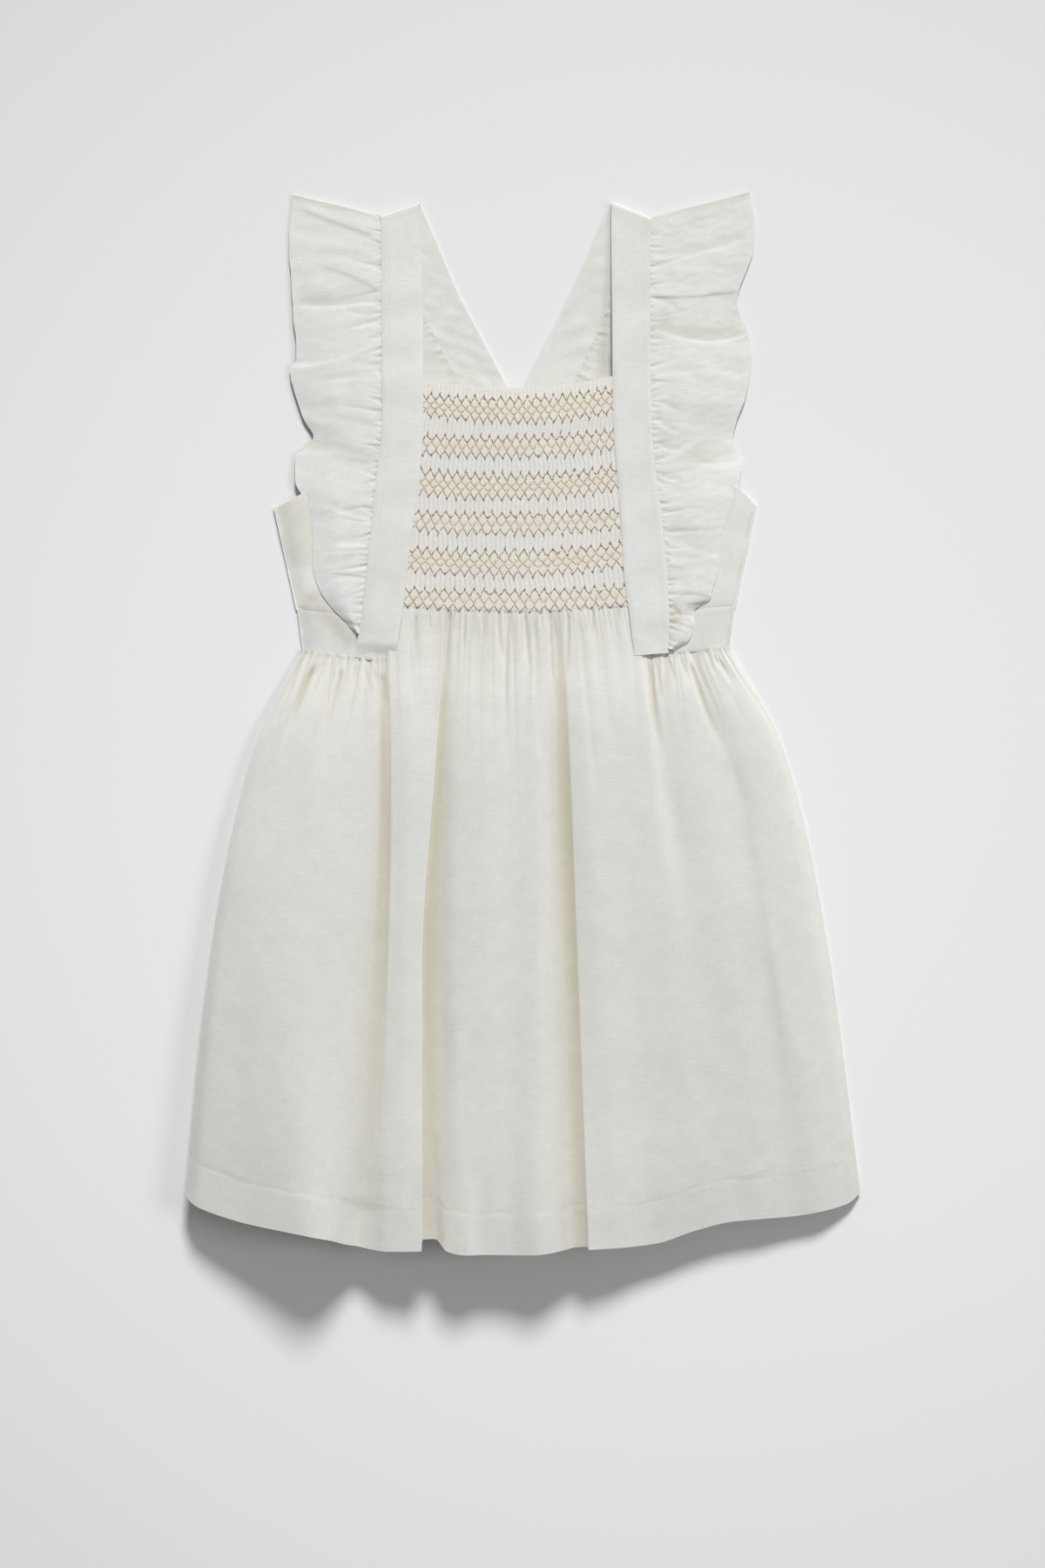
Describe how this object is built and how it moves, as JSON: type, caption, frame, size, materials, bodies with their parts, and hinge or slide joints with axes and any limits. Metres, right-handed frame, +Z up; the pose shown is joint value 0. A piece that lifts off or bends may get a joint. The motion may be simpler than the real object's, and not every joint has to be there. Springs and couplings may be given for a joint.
{
  "type": "toddler pinafore dress",
  "caption": "Linen pinafore for a toddler, laid flat: smocked bib, crossing straps with gathered ruffles, narrow waistband and full gathered skirt.",
  "frame": {"origin": "centre of the bounding box in plan, on the surface the dress lies on", "axes": "+Y from hem to shoulders, +X to the right as it lies, +Z up, out of the front of the dress"},
  "size_m": [0.3476, 0.5471, 0.043],
  "materials": {
    "linen_front": "undyed off-white linen, plain weave, matt",
    "linen_back": "the same linen on the back, in shade",
    "linen_strap": "the same linen, doubled and topstitched",
    "linen_ruffle": "the same linen, single and gathered"
  },
  "bodies": {
    "root": {"front_panel": "linen_front", "skirt_back": "linen_back", "back_bodice": "linen_back", "waistband_back": "linen_back", "waistband_left": "linen_front", "waistband_right": "linen_front", "side_left": "linen_front", "side_right": "linen_front", "strap_left": "linen_strap", "strap_right": "linen_strap", "ruffle_left": "linen_ruffle", "ruffle_right": "linen_ruffle"}
  },
  "joints": []
}
